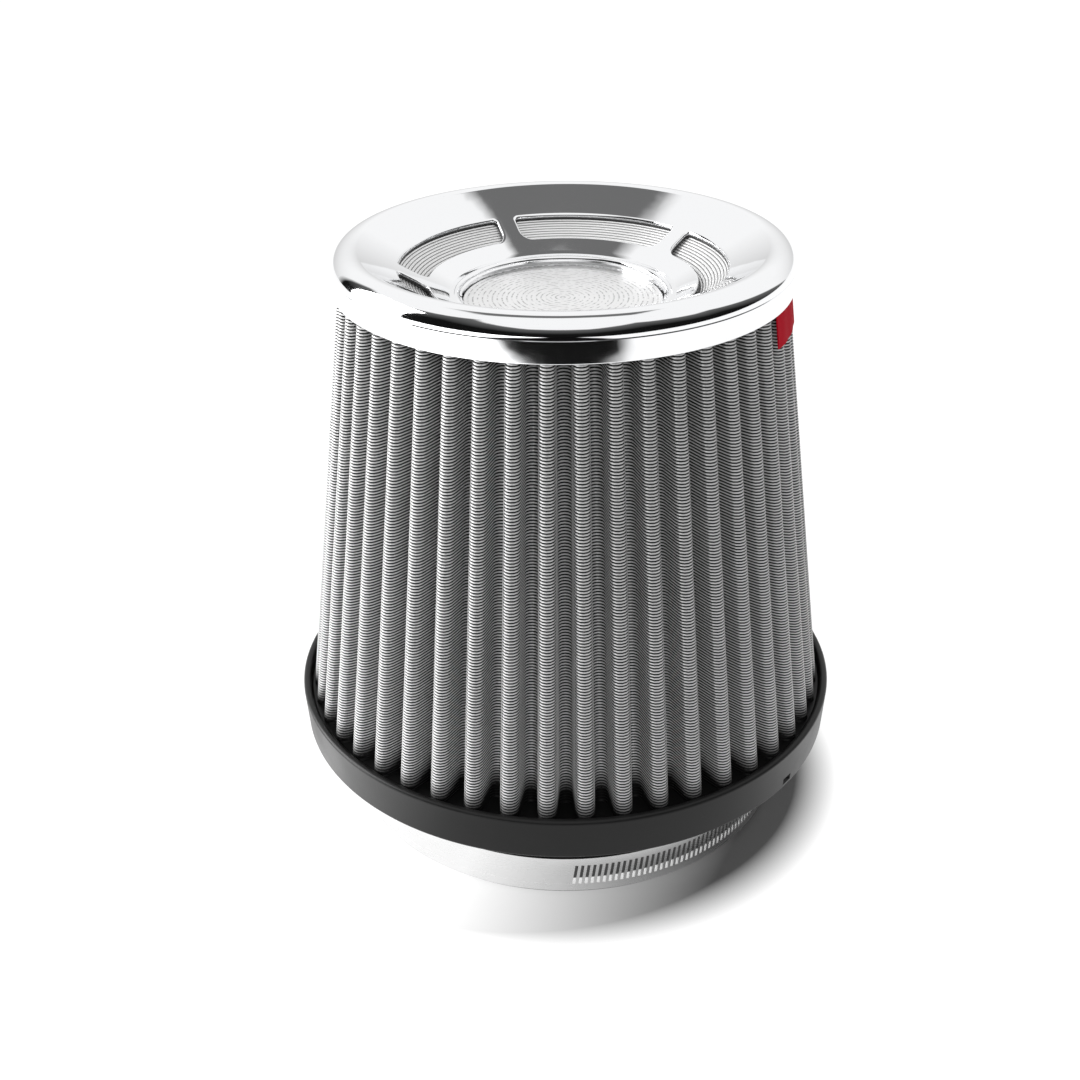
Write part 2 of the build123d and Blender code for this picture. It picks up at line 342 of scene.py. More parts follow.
def turned(name, corners, steps):
    """A piece in edit mode, turned about the axis from a closed section."""
    piece = draw_section(name, corners)
    bpy.ops.mesh.select_all(action="SELECT")
    bpy.ops.mesh.spin(steps=steps, angle=math.tau, center=(0, 0, 0), axis=(0, 0, 1))
    close_up()
    return piece


def smooth(piece, angle, even=True):
    """Smooth shading up to an angle, with broad faces kept flat beside narrow rounds."""
    deselect_all()
    piece.select_set(True)
    bpy.context.view_layer.objects.active = piece
    bpy.ops.object.shade_smooth_by_angle(angle=math.radians(angle), keep_sharp_edges=True)
    if even:
        bpy.ops.object.modifier_add(type="WEIGHTED_NORMAL")
        bpy.context.object.modifiers[-1].keep_sharp = True
        bpy.ops.object.modifier_apply(modifier=bpy.context.object.modifiers[-1].name)


def stand_for(piece, node, finish, body=FILTER):
    """Gives a finished piece its material and its body, and hides the CAD node that it stands for."""
    deselect_all()
    piece.data.materials.clear()
    piece.data.materials.append(finish)
    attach(piece, body)
    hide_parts(node)


def arc(centre, radius, first, last, steps):
    """Section corners along an arc, as (radius, height), from one angle to another."""
    turns = [first + (last - first) * step / steps for step in range(steps + 1)]
    return [(centre[0] + radius * math.cos(turn), centre[1] + radius * math.sin(turn)) for turn in turns]


def mouth_level(radius):
    """Height of the bell mouth's cone at a radius."""
    start_radius = CREST_RADIUS - MOUTH_ROUND * math.sin(MOUTH_ANGLE)
    start_level = CREST - MOUTH_ROUND * (1 - math.cos(MOUTH_ANGLE))
    return start_level - (start_radius - radius) * math.tan(MOUTH_ANGLE)


# Base moulding


def make_base(finish):
    """Moulded base with its lip, potting floor, underside and neck, and the small chip in its wall."""
    piece = turned("base_moulding", [
        (NECK_BORE, 0, MOULD_ROUND / 2), (NECK_RADIUS, 0, MOULD_ROUND),
        (NECK_RADIUS, UNDERSIDE, NECK_ROOT_ROUND), (BASE_RADIUS - WALL_TAPER, UNDERSIDE, MOULD_ROUND),
        (BASE_RADIUS, LIP_TOP, MOULD_ROUND), (BASE_RADIUS - LIP_WIDTH, LIP_TOP, MOULD_ROUND),
        (BASE_RADIUS - LIP_WIDTH, POTTING_FLOOR, MOULD_ROUND / 2),
        (NECK_BORE, POTTING_FLOOR, MOULD_ROUND / 2)], BASE_STEPS)
    for level in (NICK_LOW, NICK_HIGH):
        pick(piece, "FACE", lambda face: near_nick(face.calc_center_median()))
        bpy.ops.mesh.bisect(plane_co=(0, 0, level), plane_no=(0, 0, 1))
    pick(piece, "FACE", lambda face: near_nick(face.calc_center_median())
         and NICK_LOW < face.calc_center_median().z < NICK_HIGH)
    bpy.ops.mesh.inset(thickness=NICK_DEPTH / 2, depth=-NICK_DEPTH)
    smooth(piece, BASE_SMOOTH)
    stand_for(piece, "base_flange", finish)


def near_nick(place):
    """Whether a place on the base's wall lies at the chip's angle."""
    azimuth = math.degrees(math.atan2(place.x, -place.y))
    on_wall = radius_of(place) > BASE_RADIUS - LIP_WIDTH / 2
    return on_wall and abs(azimuth - NICK_ANGLE) < NICK_HALF_ANGLE


# Pleated mesh


def pleat_outline(ridge_radius, ridge_fold, inset=0.0):
    """Points round the folded sheet at one level: each ridge's arc, then each valley's arc."""
    step = math.tau / PLEATS
    ridge_centre = ridge_radius - ridge_fold
    valley_centre = cmath.rect(ridge_radius - PLEAT_DEPTH + VALLEY_FOLD, step / 2)
    length, along = cmath.polar(valley_centre - ridge_centre)
    lean = along - math.acos((ridge_fold + VALLEY_FOLD) / length)
    bends = [(ridge_centre, ridge_fold - inset, -lean, lean, RIDGE_STEPS),
             (valley_centre, VALLEY_FOLD + inset, math.pi + lean, math.pi + step - lean, VALLEY_STEPS)]
    pleat = [centre + cmath.rect(arm, first + (last - first) * k / steps)
             for centre, arm, first, last, steps in bends for k in range(steps + 1)]
    start = math.radians(FIRST_RIDGE - 90)
    return [point * cmath.rect(1, start + index * step) for index in range(PLEATS) for point in pleat]


def add_loop(piece, outline, level):
    """Adds to the piece being edited a closed line through an outline's points at one level."""
    bpy.ops.mesh.select_all(action="DESELECT")
    bpy.ops.mesh.primitive_circle_add(vertices=len(outline), radius=BASE_RADIUS, fill_type="NOTHING")
    mesh = bmesh.from_edit_mesh(piece.data)
    fresh = [vertex for vertex in mesh.verts if vertex.select]
    fresh.sort(key=lambda vertex: math.atan2(vertex.co.y, vertex.co.x))
    for vertex, point in zip(fresh, outline):
        vertex.co = (point.real, point.imag, level)
    bmesh.update_edit_mesh(piece.data)


def make_pleats(finish):
    """Folded sheet whose outer face has a rib for each wire, in two halves that meet in valleys."""
    deselect_all()
    bpy.ops.mesh.primitive_circle_add(vertices=3, radius=MM, fill_type="NOTHING")
    piece = bpy.context.object
    piece.name = "mesh_pleats_left"
    bpy.ops.object.mode_set(mode="EDIT")
    bpy.ops.mesh.delete(type="VERT")
    for inset, cuts in ((0.0, 2 * WIRES - 1), (SHEET, 0)):
        foot = pleat_outline(RIDGE_RADIUS_BASE, RIDGE_FOLD_BASE, inset)
        head = pleat_outline(RIDGE_RADIUS_TOP, RIDGE_FOLD_TOP, inset)
        add_loop(piece, foot, POTTING_FLOOR + inset / 2)
        add_loop(piece, head, MESH_TOP - inset / 2)
        pick(piece, "EDGE", lambda edge: edge.is_wire)
        bpy.ops.mesh.bridge_edge_loops(number_cuts=cuts, interpolation="LINEAR")
    for level in (POTTING_FLOOR, MESH_TOP):
        pick(piece, "EDGE", lambda edge: edge.is_boundary and abs(middle(edge).z - level) < SHEET)
        bpy.ops.mesh.bridge_edge_loops()
    bpy.ops.mesh.select_all(action="SELECT")
    bpy.ops.mesh.normals_make_consistent(inside=False)
    pick(piece, "VERT", between_wires)
    bpy.ops.mesh.mark_sharp()
    bpy.ops.transform.shrink_fatten(value=-WIRE_RELIEF)
    start = math.radians(FIRST_RIDGE - 90) - math.pi / PLEATS
    pick(piece, "FACE", lambda face: on_first_half(face.calc_center_median(), start))
    bpy.ops.mesh.separate(type="SELECTED")
    bpy.ops.object.mode_set(mode="OBJECT")
    halves = [piece] + [other for other in bpy.context.selected_objects if other != piece]
    halves[1].name = "mesh_pleats_right"
    for half in halves:
        edit(half)
        bpy.ops.mesh.select_all(action="SELECT")
        bpy.ops.mesh.fill_holes(sides=0)
        bpy.ops.mesh.select_all(action="SELECT")
        bpy.ops.mesh.normals_make_consistent(inside=False)
        half.data.name = half.name
        smooth(half, WIRE_SMOOTH, even=False)
        stand_for(half, "pleated_mesh", finish)


def between_wires(vertex):
    """Whether a vertex lies on one of the rows half way between two wires."""
    return abs((vertex.co.z - POTTING_FLOOR) / WIRE_ROW % 2 - 1) < WIRE_ROW_MATCH


def on_first_half(place, start):
    """Whether a place lies within half a turn from a starting angle."""
    return (math.atan2(place.y, place.x) - start) % math.tau < math.pi


# Top cap


def spoke_half_angle(radius, ease):
    """Half the angle that a spoke fills at a radius, flared at its roots; ease widens the windows."""
    outer = WINDOW_OUTER + ease
    inner = WINDOW_INNER - ease
    radius = min(max(radius, inner), outer)
    flare = 0.0
    roots = ((outer - radius, SPOKE_ROUND_OUTER + ease), (radius - inner, SPOKE_ROUND_INNER + ease))
    for room, rounding in roots:
        if room < rounding:
            flare = rounding - math.sqrt(max(0.0, rounding ** 2 - (rounding - room) ** 2))
    return math.asin((SPOKE_WIDTH / 2 - ease + flare) / radius)


def column_angle(column, half):
    """Angle of one of the cap's columns, when a spoke fills half an angle each side of its middle."""
    sector, place = divmod(column, SECTOR_COLUMNS)
    side = SPOKE_COLUMNS // 2
    if place <= side:
        turn = half * place / side
    elif place >= SECTOR_COLUMNS - side:
        turn = SECTOR - half * (SECTOR_COLUMNS - place) / side
    else:
        turn = half + (SECTOR - 2 * half) * (place - side) / (SECTOR_COLUMNS - 2 * side)
    return FIRST_SPOKE + sector * SECTOR + turn


def window_rows(ease):
    """Radii of the rows across a window that is widened by ease, from its outer edge inwards."""
    turns = [math.pi / 2 * step / FILLET_STEPS for step in range(FILLET_STEPS + 1)]
    outer = [WINDOW_OUTER + ease - (SPOKE_ROUND_OUTER + ease) * (1 - math.cos(turn)) for turn in turns]
    inner = [WINDOW_INNER - ease + (SPOKE_ROUND_INNER + ease) * (1 - math.cos(turn)) for turn in turns]
    return outer + [(outer[-1] + inner[-1]) / 2] + inner[::-1]


def eased_radius(radius, old, new):
    """Radius of a point of a window's outline once the outline is widened by new instead of old."""
    if radius > WINDOW_OUTER - SPOKE_ROUND_OUTER:
        share = (WINDOW_OUTER + old - radius) / (SPOKE_ROUND_OUTER + old)
        return WINDOW_OUTER + new - share * (SPOKE_ROUND_OUTER + new)
    if radius < WINDOW_INNER + SPOKE_ROUND_INNER:
        share = (radius - WINDOW_INNER + old) / (SPOKE_ROUND_INNER + old)
        return WINDOW_INNER - new + share * (SPOKE_ROUND_INNER + new)
    return radius


def sector_turn(place):
    """Angle of a place from the middle of the spoke before it."""
    return (math.atan2(place.y, place.x) - FIRST_SPOKE) % SECTOR


def underside_level(radius):
    """Height of the cap's underside between the windows' inner and outer edges."""
    return mouth_level(radius) - CAP_WALL


def on_top(place):
    """Whether a place is nearer to the cap's upper side than to its underside."""
    return place.z > mouth_level(radius_of(place)) - CAP_WALL / 2


def in_window(face):
    """Whether a face of the cap's cone, above or below, lies in a window."""
    place = face.calc_center_median()
    radius = radius_of(place)
    ease = WINDOW_EDGE_ROUND if on_top(place) else 0.0
    if not WINDOW_INNER - ease < radius < WINDOW_OUTER + ease:
        return False
    half = spoke_half_angle(radius, ease)
    return half < sector_turn(place) < SECTOR - half


def cap_section():
    """The cap's section: skirt, groove, bead, bell mouth, ring, lip, recess, ledge and underside."""
    upright = math.pi / 2
    bead = arc((CREST_RADIUS, BEAD_BOTTOM), BEAD_ROUND, 0, upright, BEAD_STEPS)
    mouth_centre = (CREST_RADIUS, CREST - MOUTH_ROUND)
    mouth = arc(mouth_centre, MOUTH_ROUND, upright, upright + MOUTH_ANGLE, MOUTH_STEPS)
    upper = [(radius, mouth_level(radius)) for radius in window_rows(WINDOW_EDGE_ROUND)]
    lip_end = LIP_RADIUS + LIP_RISE
    ring = [(lip_end + row, mouth_level(lip_end + row)) for row in RING_ROWS]
    lip_centre = (LIP_RADIUS - LIP_RISE, mouth_level(LIP_RADIUS) - LIP_DROP)
    lip = arc(lip_centre, LIP_ROUND, *LIP_ARC, LIP_STEPS)
    lower = [(radius, underside_level(radius)) for radius in window_rows(0.0)[::-1]]
    ring_wall = RECESS_RADIUS + CAP_WALL
    inner_seat = underside_level(WINDOW_INNER) - CAP_WALL
    outer_seat = underside_level(WINDOW_OUTER)
    skirt = [(SKIRT_INNER, SKIRT_BOTTOM), (CAP_RADIUS, SKIRT_BOTTOM, SKIRT_EDGE_ROUND),
             (CAP_RADIUS, SKIRT_TOP), (CAP_RADIUS - GROOVE_DEPTH, (SKIRT_TOP + BEAD_BOTTOM) / 2)]
    recess = [(RECESS_RADIUS, mouth_level(LIP_RADIUS) - LIP_RISE), (RECESS_RADIUS, LEDGE),
              (LEDGE_RADIUS, LEDGE), (LEDGE_RADIUS, LEDGE - CAP_WALL), (ring_wall, LEDGE - CAP_WALL),
              (ring_wall, inner_seat), (WINDOW_INNER - CAP_WALL, inner_seat)]
    seat = [(SEAT_RADIUS, outer_seat), (SEAT_RADIUS, CAP_ROOF), (SKIRT_INNER, CAP_ROOF)]
    return skirt + bead + mouth[1:] + upper + ring + lip + recess + lower + seat


def settle_columns(piece):
    """Moves the cap's columns round the axis, so that those beside a spoke follow its edge."""
    columns = SPOKES * SECTOR_COLUMNS
    mesh = bmesh.from_edit_mesh(piece.data)
    for vertex in mesh.verts:
        radius = radius_of(vertex.co)
        share = math.atan2(vertex.co.y, vertex.co.x) % math.tau / math.tau
        ease = WINDOW_EDGE_ROUND if on_top(vertex.co) else 0.0
        turn = column_angle(round(share * columns) % columns, spoke_half_angle(radius, ease))
        vertex.co.x = radius * math.cos(turn)
        vertex.co.y = radius * math.sin(turn)
    bmesh.update_edit_mesh(piece.data)


def round_window_edges(piece):
    """Draws the windows' upper edges down and inwards, ring by ring, in a quarter round."""
    for step in range(1, WINDOW_EDGE_STEPS + 1):
        old = WINDOW_EDGE_ROUND * (1 - math.sin(math.pi / 2 * (step - 1) / WINDOW_EDGE_STEPS))
        new = WINDOW_EDGE_ROUND * (1 - math.sin(math.pi / 2 * step / WINDOW_EDGE_STEPS))
        drop = WINDOW_EDGE_ROUND * (1 - math.cos(math.pi / 2 * step / WINDOW_EDGE_STEPS))
        pick(piece, "EDGE", lambda edge: edge.is_boundary and on_top(middle(edge)))
        bpy.ops.mesh.extrude_edges_move()
        mesh = bmesh.from_edit_mesh(piece.data)
        for vertex in [v for v in mesh.verts if v.select]:
            radius = radius_of(vertex.co)
            half = spoke_half_angle(radius, old)
            turn = sector_turn(vertex.co)
            share = (turn - half) / (SECTOR - 2 * half)
            radius = eased_radius(radius, old, new)
            half = spoke_half_angle(radius, new)
            swing = half + share * (SECTOR - 2 * half) - turn
            angle = math.atan2(vertex.co.y, vertex.co.x) + swing
            level = mouth_level(radius) - drop
            vertex.co = (radius * math.cos(angle), radius * math.sin(angle), level)
        bmesh.update_edit_mesh(piece.data)


def make_cap(finish):
    """Chromed cap with five windows between its spokes."""
    piece = turned("bell_mouth_cap", cap_section(), SPOKES * SECTOR_COLUMNS)
    settle_columns(piece)
    pick(piece, "FACE", in_window)
    bpy.ops.mesh.delete(type="FACE")
    round_window_edges(piece)
    for sector in range(SPOKES):
        pick(piece, "EDGE", lambda edge: edge.is_boundary and sector_of(middle(edge)) == sector)
        bpy.ops.mesh.bridge_edge_loops()
    close_up()
    smooth(piece, CAP_SMOOTH)
    stand_for(piece, "top_cap", finish)


def sector_of(place):
    """Number of the window that an angle of the cap belongs to."""
    return int((math.atan2(place.y, place.x) - FIRST_SPOKE) % math.tau / SECTOR)


# Centre disc and window screen


def make_disc(finish):
    """Spun plate with fine rings, sunk in the cap's ring."""
    edge = [(DISC_RADIUS, LEDGE), (DISC_RADIUS, DISC_LEVEL, DISC_EDGE_ROUND)]
    rings = [(DISC_RIB_STEP * k, DISC_LEVEL - (k % 2) * DISC_RIB_RELIEF)
             for k in range(2 * DISC_RIBS, -1, -1)]
    piece = turned("centre_plate", edge + rings + [(0, LEDGE)], PLATE_STEPS)
    smooth(piece, PLATE_SMOOTH, even=False)
    stand_for(piece, "centre_disc", finish)


def make_screen(finish):
    """Mesh cone under the windows, ribbed by its wires."""
    inner = WINDOW_INNER - CAP_WALL
    inner_level = underside_level(WINDOW_INNER) - CAP_WALL
    outer_level = underside_level(WINDOW_OUTER)
    ribs = []
    for k in range(2 * SCREEN_RIBS + 1):
        share = k / (2 * SCREEN_RIBS)
        radius = inner + (WINDOW_OUTER - inner) * share
        level = inner_level + (outer_level - inner_level) * share
        ribs.append((radius, level - (k % 2) * SCREEN_RIB_RELIEF))
    rim = WINDOW_OUTER + SCREEN_LAND
    under = [(rim, outer_level), (rim, outer_level - SCREEN_THICKNESS),
             (WINDOW_OUTER, outer_level - SCREEN_THICKNESS), (inner, inner_level - SCREEN_THICKNESS),
             (inner - SCREEN_LAND, inner_level - SCREEN_THICKNESS)]
    piece = turned("window_mesh", [(inner - SCREEN_LAND, inner_level)] + ribs + under, PLATE_STEPS)
    smooth(piece, PLATE_SMOOTH, even=False)
    stand_for(piece, "window_screen", finish)


# Side tag


def make_tag(finish):
    """Small plain woven tag that lies on the ridges under the skirt."""
    deselect_all()
    bpy.ops.mesh.primitive_grid_add(x_subdivisions=TAG_COLUMNS, y_subdivisions=TAG_ROWS, size=1.0)
    piece = bpy.context.object
    piece.name = "side_label"
    piece.data.name = "side_label"
    for vertex in piece.data.vertices:
        azimuth = TAG_FIRST_ANGLE + TAG_SWEEP * (vertex.co.x + 0.5)
        level = TAG_LOW + (TAG_TOP - TAG_LOW) * (vertex.co.y + 0.5)
        sag = 0.5 * TAG_SAG * (1 - math.cos(PLEATS * math.radians(azimuth - FIRST_RIDGE)))
        ridge = RIDGE_RADIUS_TOP + (MESH_TOP - level) * RIDGE_FALL
        radius = ridge + TAG_OFFSET + TAG_THICKNESS - sag
        angle = math.radians(azimuth - 90)
        vertex.co = (radius * math.cos(angle), radius * math.sin(angle), level)
    bpy.ops.object.modifier_add(type="SOLIDIFY")
    bpy.context.object.modifiers[-1].thickness = TAG_THICKNESS
    bpy.ops.object.modifier_apply(modifier=bpy.context.object.modifiers[-1].name)
    smooth(piece, TAG_SMOOTH)
    stand_for(piece, "side_tag", finish)


# Hose clamp


def make_clamp(node, name, rounding, finish, body):
    """A copy of one of the clamp's CAD pieces, merged, with its edges rounded."""
    deselect_all()
    source = frame["nodes"][node]
    source.select_set(True)
    bpy.context.view_layer.objects.active = source
    bpy.ops.object.duplicate()
    piece = bpy.context.object
    piece.name = name
    piece.data.name = name
    del piece["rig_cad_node"]
    edit(piece)
    bpy.ops.mesh.select_all(action="SELECT")
    bpy.ops.mesh.remove_doubles(threshold=MERGE)
    bpy.ops.mesh.dissolve_limited(angle_limit=math.radians(CLAMP_FLAT))
    bpy.ops.object.mode_set(mode="OBJECT")
    bpy.ops.object.modifier_add(type="BEVEL")
    bevel = bpy.context.object.modifiers[-1]
    bevel.width = rounding
    bevel.segments = CLAMP_EDGE_STEPS
    bevel.angle_limit = math.radians(CLAMP_EDGE)
    bpy.ops.object.modifier_apply(modifier=bevel.name)
    smooth(piece, CLAMP_SMOOTH)
    stand_for(piece, node, finish, body)


def make_slot_floor(finish):
    """The metal behind the band's pressed slots: a thin ring in the band, with a ramp at its foot."""
    centre = BAND_LOW + BAND_WIDTH / 2
    low = centre - SLOT_REACH
    high = centre + SLOT_REACH
    floor = BAND_INNER + SLOT_FLOOR
    piece = turned("clamp_slot_floor", [
        (BAND_INNER, low), (BAND_INNER + BAND_THICKNESS, low), (floor, low + SLOT_RAMP), (floor, high),
        (BAND_INNER, high)], BASE_STEPS)
    smooth(piece, SLOT_SMOOTH)
    stand_for(piece, "clamp_band", finish)


# Finishes


class Flow:
    """A value that runs through a bench's nodes; arithmetic on values adds Math nodes."""

    def __init__(self, bench, socket):
        self.bench = bench
        self.socket = socket

    def math(self, operation, *values):
        """The result of an operation on this value and others."""
        return self.bench.math(operation, self, *values)

    def __add__(self, other):
        return self.bench.math("ADD", self, other)

    def __radd__(self, other):
        return self.bench.math("ADD", other, self)

    def __sub__(self, other):
        return self.bench.math("SUBTRACT", self, other)

    def __rsub__(self, other):
        return self.bench.math("SUBTRACT", other, self)

    def __mul__(self, other):
        return self.bench.math("MULTIPLY", self, other)

    def __rmul__(self, other):
        return self.bench.math("MULTIPLY", other, self)

    def __truediv__(self, other):
        return self.bench.math("DIVIDE", self, other)

    def between(self, low, high):
        """0 up to low, 1 from high, and an even slope in between."""
        spread = {"From Min": low, "From Max": high}
        return self.bench.node("ShaderNodeMapRange", {"clamp": True}, {"Value": self, **spread})["Result"]


class Bench:
    """A node tree of a material or the world, with one method for any node."""

    def __init__(self, tree):
        self.tree = tree

    def node(self, kind, settings=None, values=None):
        """Adds a node, makes its settings, fills or links its sockets, and gives its outputs by name."""
        made = self.tree.nodes.new(kind)
        for name, setting in (settings or {}).items():
            setattr(made, name, setting)
        named = {}
        for socket in made.inputs:
            if socket.enabled:
                named.setdefault(socket.name, socket)
        for key, value in (values or {}).items():
            self.feed(made.inputs[key] if isinstance(key, int) else named[key], value)
        return {output.name: Flow(self, output) for output in made.outputs if output.enabled}

    def feed(self, socket, value):
        """Links a flow to a socket, or sets the socket's own value."""
        if isinstance(value, Flow):
            self.tree.links.new(value.socket, socket)
        else:
            socket.default_value = value

    def math(self, operation, *values):
        """The result of an operation on values or numbers."""
        return self.node("ShaderNodeMath", {"operation": operation}, dict(enumerate(values)))["Value"]

    def mix(self, share, first, second):
        """A colour between two colours."""
        colours = {"Factor": share, "A": first, "B": second}
        return self.node("ShaderNodeMix", {"data_type": "RGBA"}, colours)["Result"]

    def noise(self, place, size, detail=2.0):
        """Soft noise from 0 to 1 with features of about a size in metres."""
        values = {"Vector": place, "Scale": 1 / size, "Detail": detail}
        return self.node("ShaderNodeTexNoise", None, values)["Fac"]

    def bump(self, height, distance, strength=1.0):
        """A normal bent by a height from 0 to 1 that stands for a distance."""
        values = {"Height": height, "Distance": distance, "Strength": strength}
        return self.node("ShaderNodeBump", None, values)["Normal"]


SOCKETS = {"specular_ior_level": "Specular IOR Level"}


class Finish(Bench):
    """A material under a Principled shader, with its place in the object's own coordinates."""

    def __init__(self, name):
        self.material = bpy.data.materials.new(name)
        self.material.use_nodes = True
        super().__init__(self.material.node_tree)
        self.shader = self.tree.nodes["Principled BSDF"]
        self.place = self.node("ShaderNodeTexCoord")["Object"]
        parts = self.node("ShaderNodeSeparateXYZ", None, {"Vector": self.place})
        self.x, self.y, self.z = parts["X"], parts["Y"], parts["Z"]
        self.radius = (self.x * self.x + self.y * self.y).math("SQRT")

    def surface(self, **values):
        """Feeds the shader's sockets, named with underscores for spaces."""
        for name, value in values.items():
            self.feed(self.shader.inputs[SOCKETS.get(name) or name.replace("_", " ").title()], value)
        return self.material


def grey(value):
    """A neutral colour."""
    return (value, value, value, 1)


def chrome():
    """Polished chrome plate, faintly wavy as a plated moulding is, with painted shade on the windows'
    walls: dark, dull and not metal there.
    """
    finish = Finish("chrome_plate")
    waves = finish.noise(finish.place, 9 * MM)
    haze = finish.noise(finish.place, 3 * MM, detail=4.0)
    fall = (WINDOW_OUTER - finish.radius) * math.tan(MOUTH_ANGLE)
    depth = mouth_level(WINDOW_OUTER) - finish.z - fall
    # painted shade: the windows' walls below the cone are coloured near black, dull and not metal, where
    # shade falls in the gap over the screen
    inside = depth.between(*WINDOW_WALL_DEPTH) * (1 - finish.radius.between(*WINDOW_WALL_RADIUS))
    gloss = 0.03 + 0.04 * haze + 0.4 * inside
    return finish.surface(base_color=finish.mix(inside, CHROME, grey(0.03)), metallic=1.0 - inside,
                          roughness=gloss, normal=finish.bump(waves, 0.03 * MM))


def woven_steel():
    """Woven stainless wire: bright wires with painted shade in the gaps between them, and a foot that is
    darker, reaching higher up in the valleys.
    """
    finish = Finish("woven_steel")
    phase = (finish.z - POTTING_FLOOR).math("PINGPONG", WIRE_ROW) / WIRE_ROW
    # painted shade: the gaps between the wires are coloured near black, where shade falls through the open
    # weave
    gap_shade = phase.between(*WIRE_GAP_SHADE)
    stain = finish.noise(finish.place, 12 * MM, detail=3.0)
    knots = finish.noise(finish.place, 0.4 * MM)
    wire = finish.mix(stain * 0.4 + knots * 0.6, grey(0.55), grey(0.9))
    # darker towards the foot, reaching higher up in the valleys and unevenly with the noise; not metal
    # there
    up = finish.z - POTTING_FLOOR
    sunk = RIDGE_RADIUS_BASE - RIDGE_FALL * up - finish.radius
    foot_level = up - 0.35 * sunk - 1.5 * MM * knots - 2.0 * MM * stain
    foot_dark = foot_level.between(*FOOT_DARKENING)
    woven = finish.mix(gap_shade, wire, grey(0.012))
    return finish.surface(base_color=finish.mix(foot_dark, woven, grey(0.008)), metallic=0.35 - 0.35 * foot_dark,
                          roughness=0.32 + 0.1 * stain, specular_ior_level=0.2)


def screen_steel():
    """The same wire under the windows, where the wires run round the axis, with painted shade in the gaps
    between them.
    """
    finish = Finish("screen_steel")
    stain = finish.noise(finish.place, 6 * MM, detail=3.0)
    pitch = (WINDOW_OUTER - WINDOW_INNER + CAP_WALL) / (2 * SCREEN_RIBS)
    # painted shade: dark gaps between the screen's wires, where shade falls through the weave
    gap_shade = ((finish.radius - WINDOW_OUTER).math("PINGPONG", pitch) / pitch).between(*SCREEN_GAP_SHADE)
    wire = finish.mix(stain, grey(0.85), grey(0.95))
    return finish.surface(base_color=finish.mix(gap_shade, wire, grey(0.08)), metallic=0.6,
                          roughness=0.34 + 0.1 * stain)


def black_moulding():
    """Satin black moulded polyurethane with a fine skin."""
    finish = Finish("black_polyurethane")
    cloud = finish.noise(finish.place, 10 * MM, detail=4.0)
    skin = finish.noise(finish.place, 0.5 * MM, detail=2.0)
    return finish.surface(base_color=finish.mix(cloud, grey(0.007), grey(0.014)),
                          roughness=0.28 + 0.16 * cloud, specular_ior_level=0.22,
                          normal=finish.bump(skin, 0.02 * MM, 0.6))


def potting():
    """Cured dark potting."""
    finish = Finish("cured_potting")
    cloud = finish.noise(finish.place, 4 * MM, detail=3.0)
    return finish.surface(base_color=finish.mix(cloud, grey(0.015), grey(0.03)),
                          roughness=0.5 + 0.2 * cloud)


def spun_plate():
    """Spun aluminium with fine broken lines round its centre."""
    finish = Finish("spun_aluminium")
    ring = (finish.radius.math("PINGPONG", DISC_RIB_STEP) / DISC_RIB_STEP).between(*DISC_CUT)
    dash = finish.noise(finish.place, 1.1 * MM, detail=1.0).between(*DISC_DASH)
    cut = ring * dash
    return finish.surface(base_color=finish.mix(cut, grey(0.96), grey(0.45)), metallic=0.7,
                          roughness=0.3 + 0.2 * cut)


def clamp_steel():
    """Rolled stainless strip, with fine lines along the band."""
    finish = Finish("rolled_stainless")
    level = finish.node("ShaderNodeCombineXYZ", None, {"Z": finish.z})["Vector"]
    roll = finish.noise(level, 0.25 * MM, detail=3.0)
    cloud = finish.noise(finish.place, 8 * MM, detail=2.0)
    return finish.surface(base_color=finish.mix(cloud, grey(0.8), grey(0.88)), metallic=1.0,
                          roughness=0.2 + 0.1 * roll + 0.06 * cloud)


def slot_steel():
    """The same strip in the slots: painted shade at their bottom, dark, dull and less metal, and the
    strip's bright colour on the ramp at their foot.
    """
    finish = Finish("pressed_slots")
    ramp_top = BAND_LOW + BAND_WIDTH / 2 - SLOT_REACH + SLOT_RAMP
    # painted shade: the slots' bottoms above the ramp are coloured dark, where shade falls in the pressed
    # slots
    bottom_shade = finish.z.between(ramp_top - SLOT_SHADE, ramp_top)
    return finish.surface(base_color=finish.mix(bottom_shade, grey(0.85), grey(0.12)),
                          metallic=1.0 - 0.6 * bottom_shade, roughness=0.25 + 0.2 * bottom_shade)


def woven_tag():
    """Red woven tag: a fine twill."""
    finish = Finish("red_weave")
    along = finish.y.math("PINGPONG", TAG_THREAD) / TAG_THREAD
    up = finish.z.math("PINGPONG", TAG_THREAD) / TAG_THREAD
    weave = along * up
    return finish.surface(base_color=finish.mix(weave, DEEP_RED, BRIGHT_RED), roughness=0.7 + 0.1 * weave,
                          specular_ior_level=0.15, normal=finish.bump(weave, 0.05 * MM))


# Studio


def place_camera():
    """The camera that sees the object as the photograph does."""
    deselect_all()
    turn = Matrix.Rotation(math.radians(-CAMERA_YAW), 4, "Z")
    turn = turn @ Matrix.Rotation(math.radians(90 - CAMERA_PITCH), 4, "X")
    turn = turn @ Matrix.Rotation(math.radians(CAMERA_ROLL), 4, "Z")
    bpy.ops.object.camera_add(location=CAMERA_PLACE, rotation=turn.to_euler())
    camera = bpy.context.object
    camera.data.sensor_width = CAMERA_SENSOR
    camera.data.lens = CAMERA_LENS
    camera.data.clip_start = CAMERA_NEAR
    bpy.context.scene.camera = camera


